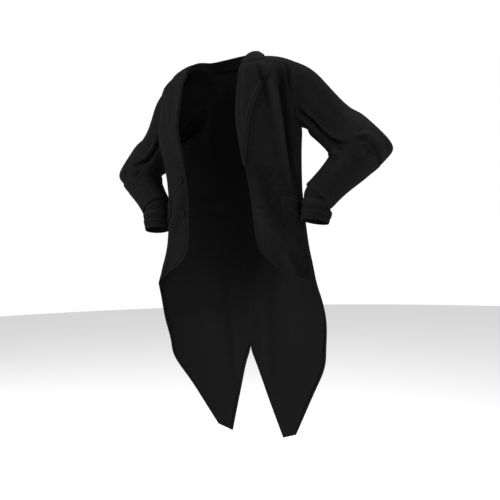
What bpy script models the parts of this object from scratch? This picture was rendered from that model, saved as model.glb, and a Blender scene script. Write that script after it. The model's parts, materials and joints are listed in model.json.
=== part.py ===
"""A man's black cutaway tailcoat, hollow, holding the shape it has when it is worn with hands on hips.

Frame: metres, +Z up, the wearer faces -Y and the wearer's left is +X.
The origin is in the middle of the neck, level with the neck ends of the shoulder seams.

Every cloth piece is a wall. It starts as a grid of points down the middle of the cloth (rows up the
body, columns round it) and is given its thickness along the grid's normals. The torso is a stack of
rounded-rectangle sections; the sleeves are rings that ride on a bent arm line.
"""

import math

import bpy
import numpy as np
from mathutils import Vector

# ------------------------------------------------------------------ driving sizes, metres
CLOTH = 0.0020            # wool cloth with its canvas
LINING = 0.0010           # lining cloth
SEAM_GAP = 0.0003         # space left between two pieces that are sewn together
LINING_GAP = 0.0008       # space between the cloth and its lining
LAY_GAP = 0.0006          # space under a piece that lies on a curved panel
SQUARENESS = 2.3          # 2 is an ellipse, larger is squarer

# Torso sections: height, half width, place of the axis, depth in front of it and behind it
SECTIONS = [
    # z      half    middle  front   back
    (-1.060, 0.2620, 0.000, 0.0800, 0.1150),
    (-0.900, 0.2620, 0.000, 0.0800, 0.0880),
    (-0.800, 0.2625, 0.000, 0.0750, 0.0770),
    (-0.740, 0.2640, 0.000, 0.0700, 0.0762),
    (-0.690, 0.2645, -0.005, 0.0650, 0.0775),
    (-0.640, 0.2600, -0.014, 0.0580, 0.0835),
    (-0.590, 0.2490, -0.028, 0.0500, 0.0975),
    (-0.550, 0.2390, -0.024, 0.0580, 0.0980),
    (-0.500, 0.2250, -0.016, 0.0660, 0.0985),
    (-0.450, 0.2150, -0.012, 0.0765, 0.1030),
    (-0.410, 0.2110, -0.012, 0.0800, 0.1090),
    (-0.360, 0.2060, -0.015, 0.0820, 0.1120),
    (-0.300, 0.2045, -0.017, 0.0920, 0.1150),
    (-0.200, 0.2090, -0.027, 0.1150, 0.1260),
    (-0.165, 0.2115, -0.030, 0.1215, 0.1290),
    (-0.100, 0.2120, -0.030, 0.1120, 0.1250),
    (-0.050, 0.2100, -0.030, 0.1000, 0.1150),
]

# Front edge, which is also the lapel's roll line: height, distance from the middle of the body
FRONT_EDGE = [
    # z      x
    (-0.500, 0.1110),
    (-0.455, 0.1058),
    (-0.400, 0.1010),
    (-0.300, 0.0955),
    (-0.270, 0.0940),
    (-0.160, 0.0927),
    (-0.078, 0.0909),
    (-0.050, 0.0900),
]

# Rows of the forepart: height at the front edge, height at the side seam or armhole
HEM_EDGE_Z, HEM_SIDE_Z = -0.455, -0.587
BODY_ROWS = [
    # edge    side
    (HEM_EDGE_Z, HEM_SIDE_Z),
    (-0.426, -0.540),
    (-0.393, -0.490),
    (-0.358, -0.435),
    (-0.322, -0.380),
    (-0.287, -0.325),
    (-0.255, -0.270),
    (-0.226, -0.215),
    (-0.200, -0.165),
]
CUTAWAY_POWER = 0.35      # how quickly the rounded front drops away below the front edge
HEM_CROWDING, CHEST_CROWDING = 1.8, 1.2   # columns crowd towards the front edge
SLANTED_ROWS = 5          # rows over which both fade out
FRONT_COLUMNS = 10
BACK_COLUMNS = 8
NECK_COLUMN = 4           # the back column that ends at the neck end of the shoulder seam

# Side seam: height, degrees round from the front
SIDE_SEAM = [
    # z      degrees
    (-0.590, 85.5),
    (-0.500, 88.0),
    (-0.400, 92.0),
    (-0.165, 101.0),
]

# Armhole, seen from the side: a rounded opening in the torso's flank
ARMPIT_Z, ARM_TOP_Z = -0.165, 0.002
BACK_ARMPIT_DROP = 0.012  # how far the centre back lies below the armpit in the row at its height
ARM_MIDDLE_Z = (ARMPIT_Z + ARM_TOP_Z) / 2
ARM_MIDDLE_Y = 0.004
ARM_FRONT, ARM_BACK = 0.060, 0.068
ARM_STEPS = 9             # steps up the front, and up the back, from armpit to shoulder point
CAP_STEPS = 4             # the last of them, over the rounded shoulder
EDGE_CAP_Z = -0.068       # where the shoulder's rounding starts, at the front edge and centre back

# Shoulder seam, from the neck to the shoulder point, and the neck
NECK_POINT = (0.088, -0.012, 0.030)
SHOULDER_POINT = (0.203, -0.010, ARM_TOP_Z)
SHOULDER_POWER = 2.6      # flat along the top, then dropping at the shoulder point
BACK_NECK_Y, BACK_NECK_Z = 0.055, 0.046

# Tails: front edge below the side seam, as height and distance from the middle
TAIL_KNEE_Z = -0.813
TAIL_EDGE = [
    # z      x
    (TAIL_KNEE_Z, 0.2445),
    (-0.775, 0.2510),
    (-0.735, 0.2563),
    (-0.690, 0.2618),
    (-0.640, 0.2592),
]
TAIL_POINT_OUT_X, TAIL_POINT_OUT_Z = 0.130, -1.023
TAIL_POINT_IN_X, TAIL_POINT_IN_Z = 0.085, -1.040
VENT_TOP_Z = -0.770
TAIL_ROWS = [
    # side    centre
    (-0.640, -0.633),
    (-0.700, -0.695),
    (-0.760, VENT_TOP_Z),
    (TAIL_KNEE_Z, -0.815),
    (-0.882, -0.888),
    (-0.953, -0.963),
    (TAIL_POINT_OUT_Z, TAIL_POINT_IN_Z),
]
VENT_ROW = 3              # rows of the tail below the top of the vent, which is the next one
TURNED_HEM = 0.011        # cloth turned to the inside along the tails, which the lining leaves bare
VENT_HEM = 0.018          # the same above the top of the vent

# Arm line of the left sleeve
ELBOW = (0.364, 0.028, -0.243)
UPPER_ARM_BOW = 0.020     # how far the upper arm bows to the back
SLEEVE_HEM = (0.2605, -0.018, -0.357)
CUFF_END = (0.2530, -0.028, -0.413)
ELBOW_HINGE = 0.100       # from the elbow to the point that the bending sleeve's rings fan out from
ELBOW_ROUNDING = 0.008    # how far the bend cuts the corner of the arm line
# Rings: share of the way (0 armhole, 1 elbow, 2 sleeve hem), half width across the bend, front to back
SLEEVE_RINGS = [
    # share  across  through
    (0.10, 0.0705, 0.0590),
    (0.24, 0.0645, 0.0600),
    (0.40, 0.0600, 0.0590),
    (0.56, 0.0600, 0.0580),
    (0.72, 0.0630, 0.0570),
    (0.86, 0.0700, 0.0565),
    (1.00, 0.0780, 0.0560),
    (1.14, 0.0690, 0.0550),
    (1.30, 0.0590, 0.0530),
    (1.45, 0.0510, 0.0505),
    (1.72, 0.0455, 0.0465),
    (2.00, 0.0445, 0.0445),
]
FOREARM_SEAM_STEP = 7     # steps down the front from the shoulder point to the forearm seam
HINDARM_SEAM_STEP = -3    # steps down the back to the hindarm seam
SLEEVE_SET = 0.0020       # from the armhole's edge to the middle of the sleeve's first ring

# Cuff tube and its end band: share of the way from sleeve hem to cuff end, radius
CUFF_RINGS = [
    # share   radius
    (-0.22, 0.0402),
    (0.05, 0.0404),
    (0.34, 0.0416),
    (0.66, 0.0405),
    (0.88, 0.0384),
]
BAND_RINGS = [
    # share  radius
    (0.82, 0.0358),
    (1.02, 0.0370),
    (1.18, 0.0356),
]
CUFF_SIDES = 16

# Lapel: height on the roll line, x and height of the outer edge on the same row
LAPEL_ROWS = [
    # roll_z  out_x   out_z
    (-0.274, 0.0975, -0.267),
    (-0.242, 0.1045, -0.238),
    (-0.210, 0.1135, -0.209),
    (-0.178, 0.1215, -0.180),
    (-0.146, 0.1285, -0.150),
    (-0.114, 0.1370, -0.120),
    (-0.082, 0.1465, -0.089),
    (-0.052, 0.1580, -0.058),
    (-0.039, 0.1620, -0.044),
    (-0.026, 0.1655, -0.030),
    (-0.010, 0.1370, -0.006),
]
GORGE_Z = -0.010          # where the gorge seam meets the roll line
LAPEL_COLUMNS = 4
LAPEL_LIFT = 0.0040       # from the middle of the forepart's cloth to the middle of the lapel's
EDGE_SPRING = 0.25        # how much further the lapel's outer edge stands off, as a share of the lift
LAPEL_TURN_IN = 0.012     # the facing behind the roll line

# Collar: station round the neck (0 gorge, 1 neck point, 2 centre back), rise of the fold above
# the seam, and how far the leaf reaches out from the fold
COLLAR_STATIONS = [
    # round  rise    reach
    (0.00, 0.0085, 0.0490),
    (0.20, 0.0090, 0.0515),
    (0.50, 0.0130, 0.0390),
    (0.75, 0.0180, 0.0290),
    (1.00, 0.0240, 0.0220),
    (1.40, 0.0290, 0.0150),
    (2.00, 0.0310, 0.0110),
]
GORGE_GAP = 0.0012        # between lapel and collar along the gorge seam
STAND_GAP = 0.0014        # between the neck edges and the collar stand inside them
LEAF_LIFT = 0.0065        # height of the leaf over the shoulders
LEAF_BOW = 0.10           # how high the leaf bows, as a share of its width
LEAF_STEPS = ((0.30, 0.8), (0.53, 1.0), (0.77, 0.7))   # share of the width, share of the bow

# Buttons and pockets
BUTTON_RADIUS, BUTTON_THICKNESS = 0.0100, 0.0035
BUTTON_HEIGHTS = (-0.292, -0.384)
BUTTON_INSET = 0.0210     # from the front edge
FLAP_FRONT_X, FLAP_FRONT_Z = 0.1730, -0.348
FLAP_WIDTH, FLAP_HEIGHT, FLAP_POINT = 0.066, 0.041, 0.013
FLAP_POINT_AT, FLAP_POINT_HALF_WIDTH = 0.62, 0.30   # shares of the width
FLAP_COLUMNS = 8
FLAP_TILT = 0.30          # drop of the pocket line for each metre towards the back
WELT_HEIGHT = 0.006


# ------------------------------------------------------------------ scene and small helpers
def clear_scene():
    for item in list(bpy.data.objects):
        bpy.data.objects.remove(item)


def cloth_material(name, colour, roughness):
    material = bpy.data.materials.new(name)
    material.use_nodes = True
    shader = material.node_tree.nodes["Principled BSDF"]
    shader.inputs["Base Color"].default_value = (*colour, 1.0)
    shader.inputs["Roughness"].default_value = roughness
    shader.inputs["Metallic"].default_value = 0.0
    return material


def smooth_lookup(table, column, at):
    """A table's column at any height, on a cubic through its rows."""
    rows = np.array(table, float)
    knots, values = rows[:, 0], rows[:, column]
    slopes = np.gradient(values, knots)
    at = np.clip(at, knots[0], knots[-1])
    i = np.clip(np.searchsorted(knots, at, side="right") - 1, 0, len(knots) - 2)
    span = knots[i + 1] - knots[i]
    s = (at - knots[i]) / span
    return (
        values[i] * (1 + 2 * s) * (1 - s) ** 2
        + slopes[i] * span * s * (1 - s) ** 2
        + values[i + 1] * s**2 * (3 - 2 * s)
        + slopes[i + 1] * span * s**2 * (s - 1)
    )


def lerp(a, b, s):
    return np.asarray(a, float) * (1 - s) + np.asarray(b, float) * s


def unit(v):
    v = np.asarray(v, float)
    return v / np.linalg.norm(v, axis=-1, keepdims=True)


def grid_normals(grid, wrap=False):
    """Normals of a grid of points, pointing away from the wearer for rows that go up."""
    if wrap:
        across = np.roll(grid, -1, 1) - np.roll(grid, 1, 1)
    else:
        across = np.gradient(grid, axis=1)
    along = np.gradient(grid, axis=0)
    return unit(np.cross(across, along))


def mirrored(grid):
    """The other side's grid. Its columns run the other way, so that it still faces out."""
    return grid[:, ::-1] * np.array([-1.0, 1.0, 1.0])


def make_object(name, points, faces, material):
    mesh = bpy.data.meshes.new(name)
    mesh.from_pydata([tuple(p) for p in points], [], faces)
    mesh.update()
    mesh.materials.append(material)
    mesh.shade_smooth()
    mesh.set_sharp_from_angle(angle=math.radians(40))
    made = bpy.data.objects.new(name, mesh)
    bpy.context.scene.collection.objects.link(made)
    return made


def rim_faces(first, second, total, turned):
    """Two triangles across the wall's rim, between two outer points and the inner ones below them."""
    under_first, under_second = first + total, second + total
    if turned:
        return [(first, second, under_first), (second, under_second, under_first)]
    return [(first, second, under_second), (first, under_second, under_first)]


def make_wall(name, grid, normals, thickness, material, wrap=False, turned=0):
    """A closed wall of that thickness, with the grid down its middle. The first columns, as many as
    are turned, take the other diagonals, so that what is mirrored is an exact image."""
    rows, columns = grid.shape[:2]
    outer = (grid + normals * thickness / 2).reshape(-1, 3)
    inner = (grid - normals * thickness / 2).reshape(-1, 3)
    last = columns if wrap else columns - 1
    total = rows * columns

    def at(r, c):
        return r * columns + c % columns

    faces = []
    for r in range(rows - 1):
        for c in range(last):
            low, low_next = at(r, c), at(r, c + 1)
            high, high_next = at(r + 1, c), at(r + 1, c + 1)
            if c < turned:
                triangles = ((low, low_next, high), (low_next, high_next, high))
            else:
                triangles = ((low, low_next, high_next), (low, high_next, high))
            for triangle in triangles:
                faces.append(triangle)
                faces.append([i + total for i in reversed(triangle)])
    for c in range(last):
        top = rows - 1
        faces += rim_faces(at(0, c + 1), at(0, c), total, c >= turned)
        faces += rim_faces(at(top, c), at(top, c + 1), total, c < turned)
    if not wrap:
        end = columns - 1
        for r in range(rows - 1):
            faces += rim_faces(at(r, 0), at(r + 1, 0), total, False)
            faces += rim_faces(at(r + 1, end), at(r, end), total, True)
    return make_object(name, np.concatenate([outer, inner]), faces, material)


# ------------------------------------------------------------------ torso surface
def torso_point(z, degrees):
    """A point of the torso's surface at that height, that far round from the front."""
    half, middle, front, back = (smooth_lookup(SECTIONS, k, z) for k in (1, 2, 3, 4))
    turn = math.radians(degrees)
    sideways = abs(math.sin(turn)) ** (2 / SQUARENESS)
    forwards = abs(math.cos(turn)) ** (2 / SQUARENESS)
    depth = -front if math.cos(turn) > 0 else back
    return np.array([half * sideways, middle + depth * forwards, z])


def torso_normal(z, degrees):
    round_body = torso_point(z, degrees + 1) - torso_point(z, degrees - 1)
    up_body = torso_point(z + 0.005, degrees) - torso_point(z - 0.005, degrees)
    return unit(np.cross(round_body, up_body))


def degrees_at_x(z, x, behind=False):
    share = np.clip(x / smooth_lookup(SECTIONS, 1, z), 0, 1) ** (SQUARENESS / 2)
    turn = math.degrees(math.asin(share))
    return 180 - turn if behind else turn


def degrees_at_y(z, y):
    y = y - smooth_lookup(SECTIONS, 2, z)
    depth = smooth_lookup(SECTIONS, 3 if y < 0 else 4, z)
    share = np.clip(abs(y) / depth, 0, 1) ** (SQUARENESS / 2)
    turn = math.degrees(math.acos(share))
    return turn if y < 0 else 180 - turn


def armhole_turn(step):
    """Radians round the armhole from the shoulder point, for a step down the front."""
    return math.pi * step / ARM_STEPS


def armhole_height(step):
    return ARM_MIDDLE_Z + (ARM_TOP_Z - ARM_MIDDLE_Z) * math.cos(armhole_turn(step))


def armhole_degrees(step, behind):
    """Where the armhole's edge is on the torso, as degrees round from the front."""
    reach = ARM_BACK if behind else -ARM_FRONT
    return degrees_at_y(
        armhole_height(step), ARM_MIDDLE_Y + reach * math.sin(armhole_turn(step))
    )


def shoulder_seam(share):
    """The shoulder seam, from the neck point at 0 to the shoulder point at 1."""
    neck, tip = np.array(NECK_POINT), np.array(SHOULDER_POINT)
    point = lerp(neck, tip, share)
    point[2] = neck[2] + (tip[2] - neck[2]) * share**SHOULDER_POWER
    return point


def back_neck(share):
    """The back neck seam, from centre back at 0 to the neck point at 1."""
    turn = share * math.pi / 2
    x = NECK_POINT[0] * math.sin(turn)
    y = NECK_POINT[1] + (BACK_NECK_Y - NECK_POINT[1]) * math.cos(turn)
    return np.array([x, y, lerp(BACK_NECK_Z, NECK_POINT[2], math.sin(turn) ** 2)])


def over_shoulder(start, seam, share):
    """A rounded way from the top of the torso's wall up and over to the shoulder seam."""
    turn = share * math.pi / 2
    return np.array(
        [
            lerp(start[0], seam[0], math.sin(turn) ** 2),
            seam[1] + (start[1] - seam[1]) * math.cos(turn),
            start[2] + (seam[2] - start[2]) * math.sin(turn),
        ]
    )


# ------------------------------------------------------------------ body panels
def side_rows():
    """(height at the front edge, height at the side, degrees at the side) for forepart and back."""
    rows = []
    for edge, side in BODY_ROWS:
        degrees = smooth_lookup(SIDE_SEAM, 1, side)
        rows.append((edge, side, degrees, degrees))
    wall_steps = ARM_STEPS - CAP_STEPS
    for k in range(1, wall_steps + 1):
        step = ARM_STEPS - k
        edge = lerp(BODY_ROWS[-1][0], EDGE_CAP_Z, k / wall_steps)
        rows.append(
            (edge, armhole_height(step), armhole_degrees(step, False), armhole_degrees(step, True))
        )
    return rows


def forepart_grid():
    """Left forepart: rows from the cutaway hem up to the shoulder seam, columns from the front edge."""
    grid = []
    for number, (edge_z, side_z, degrees, _) in enumerate(side_rows()):
        fade = min(1.0, number / SLANTED_ROWS)
        power = lerp(CUTAWAY_POWER, 1.0, fade)
        crowding = lerp(HEM_CROWDING, CHEST_CROWDING, fade)
        start = degrees_at_x(edge_z, smooth_lookup(FRONT_EDGE, 1, edge_z))
        row = []
        for c in range(FRONT_COLUMNS + 1):
            share = (c / FRONT_COLUMNS) ** crowding
            height = lerp(edge_z, side_z, share**power)
            row.append(torso_point(height, lerp(start, degrees, share)))
        grid.append(row)
    top = np.array(grid[-1])
    for k in range(1, CAP_STEPS + 1):
        row = []
        for point in top:
            along = (point[0] - top[0, 0]) / (top[-1, 0] - top[0, 0])
            row.append(over_shoulder(point, shoulder_seam(along), k / CAP_STEPS))
        grid.append(row)
    return np.array(grid)


def back_grid():
    """Left back with its tail: rows from the tail's point up to neck and shoulder, columns from
    the side seam to centre back."""
    grid = []
    for side_z, centre_z in reversed(TAIL_ROWS):
        below_knee = max(0.0, (side_z - TAIL_KNEE_Z) / (TAIL_POINT_OUT_Z - TAIL_KNEE_Z))
        edge_x = lerp(smooth_lookup(TAIL_EDGE, 1, side_z), TAIL_POINT_OUT_X, below_knee)
        outer = degrees_at_x(side_z, edge_x, behind=True)
        below = max(0.0, (VENT_TOP_Z - centre_z) / (VENT_TOP_Z - TAIL_POINT_IN_Z))
        inner = degrees_at_x(centre_z, TAIL_POINT_IN_X * below, behind=True)
        grid.append(
            [
                torso_point(lerp(side_z, centre_z, c / BACK_COLUMNS), lerp(outer, inner, c / BACK_COLUMNS))
                for c in range(BACK_COLUMNS + 1)
            ]
        )
    for edge_z, side_z, _, degrees in side_rows():
        # The back's rows are level; only near the armhole do they follow the forepart's edge heights.
        centre_z = side_z if side_z < ARMPIT_Z else edge_z
        centre_z = ARMPIT_Z - BACK_ARMPIT_DROP if side_z == ARMPIT_Z else centre_z
        grid.append(
            [
                torso_point(lerp(side_z, centre_z, c / BACK_COLUMNS), lerp(degrees, 180, c / BACK_COLUMNS))
                for c in range(BACK_COLUMNS + 1)
            ]
        )
    top = np.array(grid[-1])
    seam_columns = BACK_COLUMNS - NECK_COLUMN
    for k in range(1, CAP_STEPS + 1):
        row = []
        for c, point in enumerate(top):
            if c <= seam_columns:
                seam = shoulder_seam(1 - c / seam_columns)
            else:
                seam = back_neck((BACK_COLUMNS - c) / NECK_COLUMN)
            row.append(over_shoulder(point, seam, k / CAP_STEPS))
        grid.append(row)
    return np.array(grid)


def pulled_in(grid, first=0.0, last=0.0, bottom=0.0, top=0.0):
    """The grid with its border columns and rows moved inwards by these distances along the cloth."""
    grid = grid.copy()
    for border, inside, distance in ((0, 1, first), (-1, -2, last)):
        way = unit(grid[:, inside] - grid[:, border])
        grid[:, border] += way * np.reshape(distance, (-1, 1))
    for border, inside, distance in ((0, 1, bottom), (-1, -2, top)):
        grid[border] += unit(grid[inside] - grid[border]) * distance
    return grid


def lining_grid(back):
    """The left back lining: the back's own points, short of the tail's edges by the turned hem."""
    rows = np.arange(len(back))
    side = np.where(rows <= len(TAIL_ROWS), TURNED_HEM, 2 * SEAM_GAP)
    centre = np.where(rows <= VENT_ROW, TURNED_HEM, SEAM_GAP / 2)
    lining = pulled_in(back, first=side, last=centre, bottom=TURNED_HEM, top=4 * LINING)
    vent_top, above = lining[VENT_ROW + 1, -1], lining[VENT_ROW + 2, -1]
    lining[VENT_ROW + 1, -1] = vent_top + unit(above - vent_top) * VENT_HEM
    return lining


# ------------------------------------------------------------------ lying on a forepart
def on_forepart(grid, normals, x, z):
    """The point of the forepart at that x and height, and the cloth's normal there."""
    heights, found = [], []
    for row, row_normals in zip(grid, normals):
        if row[0, 0] - 1e-4 <= x <= row[-1, 0]:
            data = [np.interp(x, row[:, 0], column) for column in (*row.T, *row_normals.T)]
            heights.append(data[2])
            found.append(data)
    order = np.argsort(heights)
    sorted_heights = np.array(heights)[order]
    values = np.array(found)[order]
    data = [np.interp(z, sorted_heights, values[:, k]) for k in range(6)]
    return np.array([x, data[1], z]), unit(data[3:])


def lapel_grid(grid, normals):
    """The left lapel with its roll: the facing behind the edge, round the fold, out to the lapel's edge."""
    lift = LAPEL_LIFT
    edge_heights = grid[:, 0, 2]
    lapel = []
    for number, (roll_z, out_x, out_z) in enumerate(LAPEL_ROWS):
        roll, inside, out = (
            np.array([np.interp(roll_z, edge_heights, line[:, k]) for k in range(3)])
            for line in (grid[:, 0], grid[:, 1], normals[:, 0])
        )
        out = unit(out)
        inwards = unit(inside - roll)
        turn_in = LAPEL_TURN_IN * (1 - 0.75 * number / (len(LAPEL_ROWS) - 1))
        row = [
            roll + inwards * turn_in - out * lift,
            roll - inwards * lift * 0.72 - out * lift * 0.72,
            roll - inwards * lift * 1.02,
            roll - inwards * lift * 0.72 + out * lift * 0.75,
            roll + inwards * 0.4 * lift + out * lift,
        ]
        for c in range(1, LAPEL_COLUMNS + 1):
            share = c / LAPEL_COLUMNS
            x, z = lerp(roll[0] + 0.4 * lift, out_x, share), lerp(roll_z, out_z, share)
            point, normal = on_forepart(grid, normals, x, z)
            row.append(point + normal * lift * (1 + EDGE_SPRING * share))
        lapel.append(row)
    return np.array(lapel)


def flap_grids():
    """The left pocket flap, and the narrow welt sewn above it, on the forepart."""
    lift = CLOTH + LAY_GAP
    step = FLAP_WIDTH / FLAP_COLUMNS
    z, degrees = FLAP_FRONT_Z, degrees_at_x(FLAP_FRONT_Z, FLAP_FRONT_X)
    line = [(z, degrees)]
    for _ in range(FLAP_COLUMNS):
        start = torso_point(z, degrees)
        z -= FLAP_TILT * step
        while np.linalg.norm(torso_point(z, degrees) - start) < step:
            degrees += 0.25
        line.append((z, degrees))
    flap, welt = [], []
    for drop_share in (1.0, 0.66, 0.25, 0.0):
        row = []
        for c, (z, degrees) in enumerate(line):
            from_point = abs(c / FLAP_COLUMNS - FLAP_POINT_AT) / FLAP_POINT_HALF_WIDTH
            height = (FLAP_HEIGHT + FLAP_POINT * max(0.0, 1 - from_point)) * drop_share
            out = torso_normal(z - height, degrees)
            row.append(torso_point(z - height, degrees) + out * lift * (1.1 + 0.2 * drop_share))
        flap.append(row)
    for rise in (SEAM_GAP + CLOTH / 2, WELT_HEIGHT):
        row = []
        for z, degrees in line:
            out = torso_normal(z + rise, degrees)
            row.append(torso_point(z + rise, degrees) + out * lift * 1.1)
        welt.append(row)
    return np.array(flap), np.array(welt)


# ------------------------------------------------------------------ sleeves
def armhole_ring(front, back):
    """The armhole's edge, a step at a time from the shoulder point down the front and up the back."""
    down = front[::-1][:ARM_STEPS + 1, -1]
    up = back[::-1][:ARM_STEPS + 1, 0][::-1]
    return np.concatenate([down, up[1:-1]])


def arm_frame(share):
    """Middle of a sleeve ring, and its outward (away from the inside of the elbow) and forward ways."""
    hole = np.array([SHOULDER_POINT[0], ARM_MIDDLE_Y, ARM_MIDDLE_Z])
    elbow, hem, end = np.array(ELBOW), np.array(SLEEVE_HEM), np.array(CUFF_END)
    upper, lower, wrist = unit(elbow - hole), unit(hem - elbow), unit(end - hem)
    forward = unit(np.cross(lower, upper))
    forward = -forward if forward[1] > 0 else forward
    bend = unit(np.cross(forward, upper) + np.cross(forward, lower))
    hinge = elbow - bend * ELBOW_HINGE
    if share <= 1:
        middle, axis = lerp(hole, elbow, share), upper
        middle[1] += UPPER_ARM_BOW * math.sin(math.pi * share)
    elif share <= 2:
        middle, axis = lerp(elbow, hem, share - 1), lower
    else:
        middle, axis = lerp(hem, end, share - 2), unit(lerp(lower, wrist, min(1.0, share - 2)))
    fan = abs(np.dot(hinge - elbow, axis))
    from_elbow = abs(np.dot(middle - elbow, axis))
    if share <= 2 and from_elbow < fan:
        outward = middle - hinge
        outward = unit(outward - forward * np.dot(outward, forward))
        middle = middle - outward * ELBOW_ROUNDING * (1 - from_elbow / fan) ** 2
        return middle, outward, forward
    outward = unit(np.cross(forward, axis))
    return middle, outward, unit(np.cross(axis, outward))


def sleeve_rings(hole_ring):
    """Grid of the whole left sleeve: rows from the armhole to the hem, columns round from the top."""
    rings = [hole_ring + np.array([SLEEVE_SET, 0, 0])]
    for share, across, through in SLEEVE_RINGS:
        middle, outward, forward = arm_frame(share)
        ring = []
        for step in range(2 * ARM_STEPS):
            turn = armhole_turn(step)
            ring.append(middle + outward * across * math.cos(turn) + forward * through * math.sin(turn))
        blend = min(1.0, share / 0.40)
        plain = hole_ring + (middle - hole_ring.mean(axis=0))
        rings.append(lerp(plain, np.array(ring), blend) if blend < 1 else np.array(ring))
    return np.array(rings)


def sleeve_parts(rings):
    """(top sleeve, under sleeve) grids, parted at the forearm and hindarm seams."""
    normals = grid_normals(rings[::-1], wrap=True)[::-1]
    count = rings.shape[1]
    parts = []
    for first, last in (
        (HINDARM_SEAM_STEP, FOREARM_SEAM_STEP),
        (FOREARM_SEAM_STEP, count + HINDARM_SEAM_STEP),
    ):
        columns = [c % count for c in range(first, last + 1)]
        part = pulled_in(rings[:, columns], first=SEAM_GAP / 2, last=SEAM_GAP / 2)
        parts.append((part, normals[:, columns]))
    return parts


def tube_rings(table):
    """Rings of a round tube on the wrist's line, as a grid with rows from the sleeve outwards."""
    rings = []
    for share, radius in table:
        middle, outward, forward = arm_frame(2 + share)
        rings.append(
            [
                middle
                + outward * radius * math.cos(2 * math.pi * k / CUFF_SIDES)
                + forward * radius * math.sin(2 * math.pi * k / CUFF_SIDES)
                for k in range(CUFF_SIDES)
            ]
        )
    return np.array(rings)


# ------------------------------------------------------------------ collar
def neck_line(front):
    """(points, stations) of the neck seam: 2 at centre back, 1 at the neck point, 0 at the gorge."""
    behind = [back_neck(k / NECK_COLUMN) for k in range(NECK_COLUMN + 1)]
    edge = front[-CAP_STEPS - 1 :, 0]
    gorge = np.array([np.interp(GORGE_Z, edge[:, 2], edge[:, k]) for k in range(3)])
    ahead = [point for point in edge[-2::-1] if point[2] > GORGE_Z] + [gorge]
    points = np.array(behind + ahead)
    along = np.concatenate([[0], np.cumsum(np.linalg.norm(np.diff(points, axis=0), axis=1))])
    return points, np.interp(along, [0, along[NECK_COLUMN], along[-1]], [2, 1, 0])


def shoulder_height(front, back, x, y):
    """Height of the coat's shoulders over a place in plan."""
    for grid, way in ((front, 1), (back, -1)):
        profile = []
        for row in grid[-CAP_STEPS - 3 :]:
            order = np.argsort(row[:, 0])
            profile.append([np.interp(x, row[order, 0], row[order, k]) for k in (1, 2)])
        profile = np.array(profile)
        if way * y <= way * profile[-1, 0]:
            return np.interp(way * y, way * profile[:, 0], profile[:, 1])
    return profile[-1, 1]


def collar_half(front, back, gorge_row):
    """Columns from centre back to the gorge, each up the stand, over the fold and down the leaf."""
    up = np.array([0.0, 0.0, 1.0])
    points, stations = neck_line(front)
    along = np.gradient(points, axis=0)
    along[0] = [1.0, 0.0, 0.0]
    gorge_way = unit((gorge_row[-1] - gorge_row[-LAPEL_COLUMNS - 1]) * (1 - up))
    columns = []
    for seam, station, way in zip(points[:-1], stations[:-1], along[:-1]):
        rise, reach = (smooth_lookup(COLLAR_STATIONS, k, station) for k in (1, 2))
        out = unit(lerp(unit(np.cross(up, way)), gorge_way, max(0.0, 1 - station) ** 2))
        base = seam - out * (CLOTH / 2 + STAND_GAP) - up * CLOTH
        fold = seam + up * rise
        leaf = fold + out * reach
        leaf[2] = shoulder_height(front, back, leaf[0], leaf[1]) + LEAF_LIFT
        bow = up * np.linalg.norm(leaf - fold) * LEAF_BOW
        middle = [lerp(fold, leaf, share) + bow * lifted for share, lifted in LEAF_STEPS]
        for point in middle:
            floor = shoulder_height(front, back, point[0], point[1]) + LEAF_LIFT
            point[2] = max(point[2], floor)
        columns.append(
            [
                base,
                lerp(base, fold, 0.5),
                fold - out * 0.0004 - up * 0.0012,
                fold + out * 0.0014 + up * 0.0004,
                fold + out * 0.0036 - up * 0.0010,
                *middle,
                leaf,
            ]
        )
    columns.append(gorge_row + unit(points[-2] - points[-1]) * GORGE_GAP)
    return np.array(columns).transpose(1, 0, 2)


# ------------------------------------------------------------------ buttons
def button_mesh(name, place, facing, material):
    """A turned four-hole button: a dished disc with a raised rim, its holes cut by booleans."""
    profile = [
        (0.0, 0.0),
        (0.80, 0.0),
        (1.0, 0.30),
        (1.0, 0.72),
        (0.90, 1.0),
        (0.78, 0.96),
        (0.68, 0.70),
        (0.0, 0.64),
    ]
    sides = 24
    points, faces = [], []
    points.append((0.0, 0.0, profile[0][1]))
    for radius, height in profile[1:-1]:
        for k in range(sides):
            turn = 2 * math.pi * k / sides
            points.append(
                (
                    radius * BUTTON_RADIUS * math.cos(turn),
                    radius * BUTTON_RADIUS * math.sin(turn),
                    height * BUTTON_THICKNESS,
                )
            )
    points.append((0.0, 0.0, profile[-1][1] * BUTTON_THICKNESS))
    top = len(points) - 1
    loops = len(profile) - 2
    for k in range(sides):
        after = (k + 1) % sides
        faces.append([0, 1 + after, 1 + k])
        for ring in range(loops - 1):
            low, high = 1 + ring * sides, 1 + (ring + 1) * sides
            faces.append([low + k, low + after, high + after, high + k])
        faces.append([1 + (loops - 1) * sides + k, 1 + (loops - 1) * sides + after, top])
    button = make_object(name, points, faces, material)
    button.location = place
    button.rotation_euler = Vector(facing).to_track_quat("Z", "Y").to_euler()
    for number, (i, j) in enumerate(((1, 1), (1, -1), (-1, 1), (-1, -1))):
        bpy.ops.mesh.primitive_cylinder_add(
            vertices=8,
            radius=0.0009,
            depth=4 * BUTTON_THICKNESS,
            location=(i * 0.0022, j * 0.0022, 0.0),
        )
        drill = bpy.context.object
        drill.name = f"{name}_drill_{number}"
        drill.hide_render = True
        drill.display_type = "WIRE"
        drill.parent = button
        cut = button.modifiers.new(f"hole_{number}", "BOOLEAN")
        cut.object = drill
        cut.operation = "DIFFERENCE"
    return button


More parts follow.
